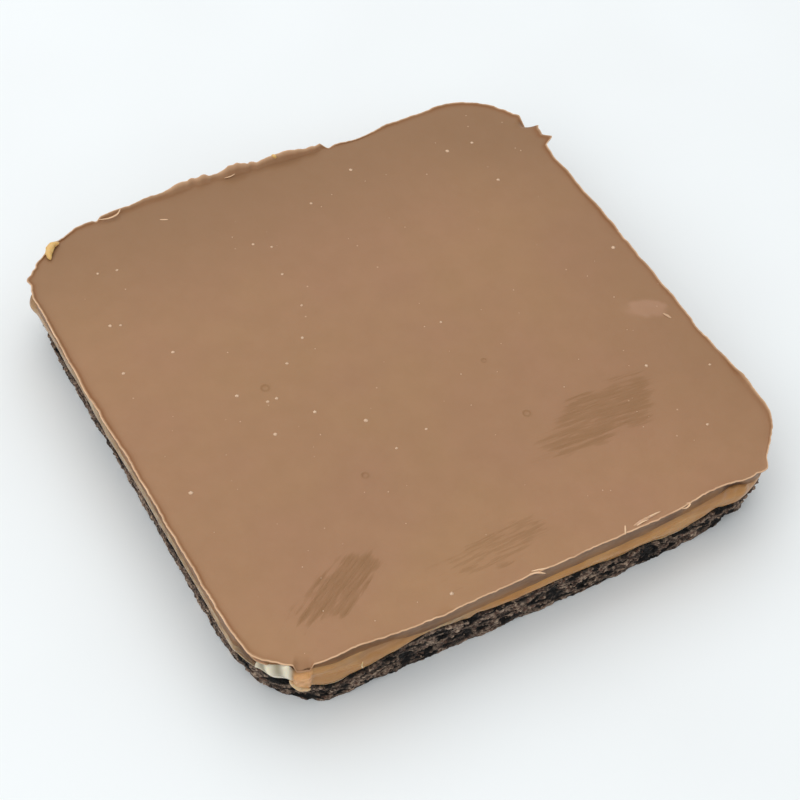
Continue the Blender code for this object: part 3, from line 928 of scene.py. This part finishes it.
def tempered_chocolate(colours):
    """Milk chocolate poured warm and left to set: satin, faintly mottled by uneven cooling, with pale
    pinpricks of bloom, a translucent thin lip and a duller side where the tin held it."""
    material, tree, shader, place = start_material("milk chocolate, poured", 0.08, (1.0, 0.5, 0.3), 0.22)
    # Some cells of 5 mm have a prick, which is palest over 0.2 mm and fades out at 0.6 mm across.
    cells = add_node(
        tree, "ShaderNodeTexVoronoi", {"Scale": 1 / (5 * MM), "Randomness": 1.0}, {"Vector": place}
    )
    prick = add_node(
        tree,
        "ShaderNodeMapRange",
        {"From Min": 0.06, "From Max": 0.02},
        {"Value": cells.outputs["Distance"]},
    )
    channels = add_node(tree, "ShaderNodeSeparateColor", (), {"Color": cells.outputs["Color"]})
    chosen = add_node(
        tree, "ShaderNodeMath", {"operation": "GREATER_THAN", 1: 0.72}, {0: channels.outputs[0]}
    )
    # The rubbed streaks run along each scuff, about 0.8 mm apart, and break up at its edge.
    scuff = read_shade(tree, "scuff")
    drawn = add_node(
        tree, "ShaderNodeCombineXYZ", (), {0: read_shade(tree, "along"), 1: read_shade(tree, "across")}
    )
    streaks = scaled_noise(tree, drawn.outputs[0], 0.8 * MM, 3, (9, 1, 1))
    broken = add_node(
        tree, "ShaderNodeMath", {"operation": "MULTIPLY_ADD", 1: 0.8}, {0: streaks, 2: scuff}
    )
    crisp = add_node(
        tree, "ShaderNodeMapRange", {"From Min": 0.7, "From Max": 0.95}, {"Value": broken.outputs[0]}
    )
    scratches = add_node(
        tree, "ShaderNodeMapRange", {"From Min": -1.0, "From Max": 0.9}, {"Value": streaks}
    )
    colour = lay_coats(
        tree,
        colours.chocolate,
        (colours.chocolate_warm, 0.7, scaled_noise(tree, place, 34 * MM, 2)),
        # Painted shade: the top darkens towards the back and the right.
        (colours.chocolate_shade_and_patches, 1, read_shade(tree, "far_shade")),
        (colours.chocolate_scuff, 0.12, scaled_noise(tree, place, 7 * MM, 4)),
        # Painted shade on the rim's inner slope.
        (colours.chocolate_rim_shade, 0.85, read_shade(tree, "warm")),
        (colours.speck, 0.5, prick.outputs[0], chosen.outputs[0]),
        (
            colours.chocolate_scuff,
            0.62,
            crisp.outputs[0],
            read_shade(tree, "scuff", (0, 0.9)),
            scratches.outputs[0],
        ),
        (colours.chocolate_smear, 0.42, read_shade(tree, "smear")),
        (chocolate_side(tree, place, colours), 1, read_shade(tree, "side")),
        (colours.lip, 1, read_shade(tree, "lip")),
    )
    ripple = scaled_noise(tree, place, 11 * MM, 2)
    peel = scaled_noise(tree, place, 1.3 * MM, 3)
    scored = add_node(tree, "ShaderNodeMath", {"operation": "MULTIPLY"}, {0: streaks, 1: scuff})
    bumps = ((ripple, 0.10 * MM), (peel, 0.015 * MM), (scored.outputs[0], 0.14 * MM))
    set_finish(tree, shader, colour, scuff, (0.40, 0.62), bumps)
    return material


def set_caramel(colours):
    """Caramel of boiled sugar, butter and cream: glossy and slightly see-through, drawn out by the tin's
    wall, darker under the chocolate and pale where it thins out over the brownie."""
    material, tree, shader, place = start_material("set caramel", 0.25, (1.6, 0.9, 0.35), 0.35)
    film = read_shade(tree, "film")
    drawn = scaled_noise(tree, place, 2.6 * MM, 3, (5, 5, 1))
    cloud = scaled_noise(tree, place, 6 * MM, 3, (1.6, 1.6, 1))
    flecks = scaled_noise(tree, place, 1.4 * MM, 3, (1.6, 1.6, 1), 0.45, 0.7)
    bare = scaled_noise(tree, place, 2.6 * MM, 3, (2, 2, 1), 0.45, 0.72)
    cut = lay_coats(
        tree,
        colours.caramel_cut,
        (colours.caramel, 0.6, scaled_noise(tree, place, 1.5 * MM, 3)),
        # Painted shadow: the block darkens towards its top, under the chocolate's overhang.
        (colours.caramel_stain_and_shade, 0.7, read_shade(tree, "up", (0.84, 0.97))),
    )
    # The torn corner's skin: a painted reflection, with painted shade in the pleats' hollows.
    skin = lay_coats(tree, colours.cream, (colours.cream_pleat_shade, 0.8, read_shade(tree, "pleat_hollow_shade")))
    colour = lay_coats(
        tree,
        colours.caramel,
        (colours.caramel_light, 0.5, cloud),
        (colours.caramel_stain_and_shade, 0.22, drawn),
        (colours.caramel_stain_and_shade, 1, read_shade(tree, "up", (0.5, 1)), drawn),
        (colours.caramel_film, 0.9, film),
        (colours.cream, 0.4, film, bare),
        (colours.chocolate_streaks_and_shade, 0.6, film, flecks),
        (cut, 0.9, read_shade(tree, "block")),
        (colours.caramel_bead, 0.85, read_shade(tree, "bead")),
        (colours.cream, 0.7, read_shade(tree, "up", (0.14, 0.02))),
        # Painted shade in the fold's groove.
        (colours.chocolate_streaks_and_shade, 0.65, read_shade(tree, "groove_shade")),
        (skin, 1, read_shade(tree, "cream")),
    )
    fine = scaled_noise(tree, place, 0.8 * MM, 2)
    set_finish(tree, shader, colour, drawn, (0.26, 0.42), ((drawn, 0.03 * MM), (fine, 0.02 * MM)))
    return material


def baked_crumb(colours):
    """Brownie torn from its tin: fudgy and nearly black in its pores, dull and grey-brown on its dry crests,
    with moist faces between that catch the light. The black of its pores and deep relief is partly the moist
    crumb's own dark and partly painted shade."""
    material, tree, shader, place = start_material("baked brownie crumb", 0.0, (1, 1, 1), 0.4)
    grain = scaled_noise(tree, place, 0.6 * MM, 3, (1.5, 1.5, 1), 0.4, 0.6)
    patches = scaled_noise(tree, place, 2.2 * MM, 3, (1.5, 1.5, 1))
    pores = scaled_noise(tree, place, 1.2 * MM, 3, (2.4, 2.4, 1), 0.52, 0.62)
    crests = lay_coats(
        tree, colours.crumb_brown, (colours.crumb_light, 1, grain), (colours.crumb_brown, 0.3, patches)
    )
    colour = lay_coats(
        tree,
        colours.crumb_dark_and_shade,
        (crests, 1, read_shade(tree, "deep", (0.62, 0.12))),
        (colours.crumb_dark_and_shade, 0.75, pores),
    )
    set_finish(tree, shader, colour, patches, (0.45, 0.8), ((grain, 0.35 * MM), (pores, -0.4 * MM)))
    return material


def bloom_fat(colours):
    """Cocoa butter that came to the surface in beads: pale, dull and only slightly raised."""
    material, tree, shader, place = start_material("cocoa butter bloom", 0.1, (1, 0.7, 0.5), 0.3)
    spots = scaled_noise(tree, place, 0.4 * MM, 2)
    colour = lay_coats(tree, colours.speck, (colours.chocolate, 0.5, spots))
    set_finish(tree, shader, colour, spots, (0.5, 0.7), ((spots, 0.02 * MM),))
    return material


def broken_chocolate(colours):
    """Slivers of the thin rim: the lip's pale colour where they are thin, and the pour's own elsewhere."""
    material, tree, shader, place = start_material("milk chocolate, broken", 0.15, (1, 0.5, 0.3), 0.3)
    patches = scaled_noise(tree, place, 1.2 * MM, 3)
    colour = lay_coats(
        tree,
        colours.chocolate_smear,
        (colours.chocolate, 1, patches),
        (colours.lip, 1, read_shade(tree, "thin")),
    )
    set_finish(tree, shader, colour, patches, (0.38, 0.55), ((patches, 0.05 * MM),))
    return material


def painted_floor(colours):
    """A matt white board, with the faintest grain."""
    material, tree, shader, place = start_material("matt white board", 0.0, (1, 1, 1), 0.1)
    grain = scaled_noise(tree, place, 60 * MM, 1)
    colour = lay_coats(tree, colours.floor, (colours.chocolate_side, 0.02, grain))
    set_finish(tree, shader, colour, grain, (0.85, 0.9), ((grain, 0.02 * MM),))
    return material


def place_piece(bm, name, material, slot=None, node=None):
    """Makes a mesh into a piece of the slab, in place of an older one of that name."""
    old = bpy.data.objects.get(name)
    if old:
        bpy.data.objects.remove(old)
    mesh = bpy.data.meshes.new(name)
    bm.to_mesh(mesh)
    bm.free()
    if not mesh.polygons:
        raise RuntimeError(f"{name} has no faces")
    mesh.shade_smooth()
    mesh.materials.append(material)
    piece = bpy.data.objects.new(name, mesh)
    bpy.context.scene.collection.objects.link(piece)
    if slot:
        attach(piece, BODY)
    if node:
        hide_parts(node)
    return piece


class SLAB_OT_brownie(bpy.types.Operator):
    """Builds the brownie with its torn side"""

    bl_idname = "slab.brownie"
    bl_label = "Brownie"

    def execute(self, context):
        bm = wrap(context.scene.slab_sizes, BROWNIE_COLUMNS, brownie_profile, ("deep",))
        material = baked_crumb(context.scene.slab_colours)
        place_piece(bm, "torn_brownie", material, "brownie", "brownie_base")
        return {"FINISHED"}


class SLAB_OT_caramel(bpy.types.Operator):
    """Builds the caramel with its smeared side and the block at the torn corner"""

    bl_idname = "slab.caramel"
    bl_label = "Caramel"

    def execute(self, context):
        bm = wrap(context.scene.slab_sizes, CARAMEL_COLUMNS, caramel_profile, CARAMEL_SHADES)
        material = set_caramel(context.scene.slab_colours)
        place_piece(bm, "smeared_caramel", material, "caramel", "caramel_layer")
        return {"FINISHED"}


class SLAB_OT_chocolate(bpy.types.Operator):
    """Builds the chocolate with its ragged rim, and marks its top"""

    bl_idname = "slab.chocolate"
    bl_label = "Chocolate"

    def execute(self, context):
        sizes = context.scene.slab_sizes
        bm = wrap(sizes, CHOCOLATE_COLUMNS, chocolate_profile, CHOCOLATE_SHADES)
        mark_top(bm, sizes)
        material = tempered_chocolate(context.scene.slab_colours)
        place_piece(bm, "poured_chocolate", material, "chocolate", "chocolate_top")
        return {"FINISHED"}


class SLAB_OT_specks(bpy.types.Operator):
    """Strews pale specks of bloom over the top"""

    bl_idname = "slab.specks"
    bl_label = "Specks"

    def execute(self, context):
        sizes = context.scene.slab_sizes
        draw = random.Random(SPECK_SEED)
        reach = SIDE / 2 - 5 * MM
        fine = tuple(
            (
                draw.uniform(-reach, reach),
                draw.uniform(-reach, reach),
                sizes.speck_radius * draw.uniform(0.5, 1.1),
            )
            for _ in range(sizes.speck_count)
        )
        bm = bmesh.new()
        for x, y, radius in SPECKS + fine:
            made = bmesh.ops.create_icosphere(bm, subdivisions=1, radius=radius)["verts"]
            bmesh.ops.scale(bm, verts=made, vec=(1, draw.uniform(0.8, 1), 0.3))
            bmesh.ops.translate(bm, verts=made, vec=(x, y, top_height(x, y) - 0.08 * radius))
        place_piece(bm, "bloom_specks", bloom_fat(context.scene.slab_colours), "chocolate")
        return {"FINISHED"}


class SLAB_OT_flakes(bpy.types.Operator):
    """Lays the slivers of chocolate along the rim"""

    bl_idname = "slab.flakes"
    bl_label = "Rim flakes"

    def execute(self, context):
        bm = bmesh.new()
        layer = bm.verts.layers.float.new("thin")
        for line, width in FLAKES:
            for vert in sliver(bm, line, width):
                vert[layer] = smooth(THIN_FLAKE / width - 0.2)
        bmesh.ops.recalc_face_normals(bm, faces=bm.faces)
        place_piece(bm, "rim_flakes", broken_chocolate(context.scene.slab_colours), "chocolate")
        return {"FINISHED"}


class SLAB_OT_beads(bpy.types.Operator):
    """Adds the caramel that was squeezed over the rim, torn off at a corner or ran down the front"""

    bl_idname = "slab.beads"
    bl_label = "Caramel beads"

    def execute(self, context):
        bm = bmesh.new()
        up, bead, cream = [bm.verts.layers.float.new(name) for name in ("up", "bead", "cream")]
        for line, width, bright, pale in CARAMEL_BEADS:
            for vert in sliver(bm, line, width, flatness=0.9):
                vert[up] = 0.3
                vert[bead] = bright
                vert[cream] = pale
        bmesh.ops.recalc_face_normals(bm, faces=bm.faces)
        place_piece(bm, "caramel_beads", set_caramel(context.scene.slab_colours), "caramel")
        return {"FINISHED"}


class SLAB_OT_crumbs(bpy.types.Operator):
    """Sticks loose crumbs to the brownie's side"""

    bl_idname = "slab.crumbs"
    bl_label = "Loose crumbs"

    def execute(self, context):
        sizes = context.scene.slab_sizes
        draw = random.Random(CRUMB_SEED)
        bm = bmesh.new()
        layer = bm.verts.layers.float.new("deep")
        for _ in range(sizes.crumb_count):
            place, outward = around(draw.random())
            crest = brownie_crest(*place)
            radius = sizes.crumb_radius * draw.uniform(0.35, 1) * draw.uniform(0.6, 1.2)
            z = draw.uniform(radius + 1 * MM, crest - radius)
            inset = wall_inset(z) + SIDE_SETBACK + torn_crumb(sizes, *place, z)[0]
            flat = place - outward * (inset + 0.2 * radius)
            made = bmesh.ops.create_icosphere(bm, subdivisions=1, radius=radius)["verts"]
            for vert in made:
                vert.co *= 1 + 0.45 * wave(vert.co.x + z, vert.co.y, vert.co.z + place.x, 0.8 * radius)
                vert.co.z *= 0.75
                vert[layer] = 0.1
            bmesh.ops.translate(bm, verts=made, vec=(flat.x, flat.y, z))
        place_piece(bm, "loose_crumbs", baked_crumb(context.scene.slab_colours), "brownie")
        return {"FINISHED"}


class SLAB_OT_stage(bpy.types.Operator):
    """Sets up the floor, the light and the camera"""

    bl_idname = "slab.stage"
    bl_label = "Stage"

    def execute(self, context):
        scene = context.scene
        bm = bmesh.new()
        bmesh.ops.create_grid(bm, x_segments=1, y_segments=1, size=FLOOR_REACH)
        floor = place_piece(bm, "floor", painted_floor(scene.slab_colours))

        scene.world = bpy.data.worlds.new("soft room")
        scene.world.use_nodes = True
        background = scene.world.node_tree.nodes["Background"]
        background.inputs["Color"].default_value = ROOM_COLOUR
        background.inputs["Strength"].default_value = ROOM_STRENGTH

        for light in LIGHTS:
            add_light(*light)

        azimuth, elevation = math.radians(CAMERA_AZIMUTH), math.radians(CAMERA_ELEVATION)
        roll = math.radians(CAMERA_ROLL)
        back = Vector(
            (
                math.sin(azimuth) * math.cos(elevation),
                -math.cos(azimuth) * math.cos(elevation),
                math.sin(elevation),
            )
        )
        right = Vector((math.cos(azimuth), math.sin(azimuth), 0))
        up = back.cross(right)
        right, up = (
            right * math.cos(roll) + up * math.sin(roll),
            up * math.cos(roll) - right * math.sin(roll),
        )
        camera = bpy.data.objects.new("camera", bpy.data.cameras.new("camera"))
        camera.data.lens = CAMERA_LENS
        camera.data.sensor_width = CAMERA_SENSOR
        camera.data.clip_start = 10 * MM
        camera.matrix_world = Matrix.Translation(Vector(CAMERA_TARGET) + back * CAMERA_DISTANCE) @ Matrix(
            (right, up, back)
        ).transposed().to_4x4()
        scene.collection.objects.link(camera)
        scene.camera = camera
        scene.view_settings.view_transform = "Standard"
        return {"FINISHED"}


def add_light(name, at, size, power):
    """A square soft light that faces the middle of the slab."""
    data = bpy.data.lights.new(name, "AREA")
    data.shape = "SQUARE"
    data.size = size
    data.energy = power
    light = bpy.data.objects.new(name, data)
    light.location = at
    light.rotation_euler = Vector(at).to_track_quat("Z", "Y").to_euler()
    bpy.context.scene.collection.objects.link(light)


OPERATORS = (
    SLAB_OT_brownie,
    SLAB_OT_caramel,
    SLAB_OT_chocolate,
    SLAB_OT_specks,
    SLAB_OT_flakes,
    SLAB_OT_beads,
    SLAB_OT_crumbs,
    SLAB_OT_stage,
)


class SLAB_PT_panel(bpy.types.Panel):
    """The slab's sizes, colours and pieces"""

    bl_idname = "SLAB_PT_panel"
    bl_label = "Caramel Brownie Slab"
    bl_space_type = "VIEW_3D"
    bl_region_type = "UI"
    bl_category = "Brownie"

    def draw(self, context):
        for group in (context.scene.slab_sizes, context.scene.slab_colours):
            box = self.layout.box()
            for name in group.__annotations__:
                box.prop(group, name)
        for operator in OPERATORS:
            self.layout.operator(operator.bl_idname)


CLASSES = (SlabSizes, SlabColours) + OPERATORS + (SLAB_PT_panel,)


def register():
    for cls in CLASSES:
        bpy.utils.register_class(cls)
    bpy.types.Scene.slab_sizes = bpy.props.PointerProperty(type=SlabSizes)
    bpy.types.Scene.slab_colours = bpy.props.PointerProperty(type=SlabColours)


def unregister():
    del bpy.types.Scene.slab_colours
    del bpy.types.Scene.slab_sizes
    for cls in reversed(CLASSES):
        bpy.utils.unregister_class(cls)


def main():
    register()
    bpy.ops.slab.brownie()
    bpy.ops.slab.caramel()
    bpy.ops.slab.chocolate()
    bpy.ops.slab.specks()
    bpy.ops.slab.flakes()
    bpy.ops.slab.beads()
    bpy.ops.slab.crumbs()
    bpy.ops.slab.stage()


if __name__ == "__main__":
    main()
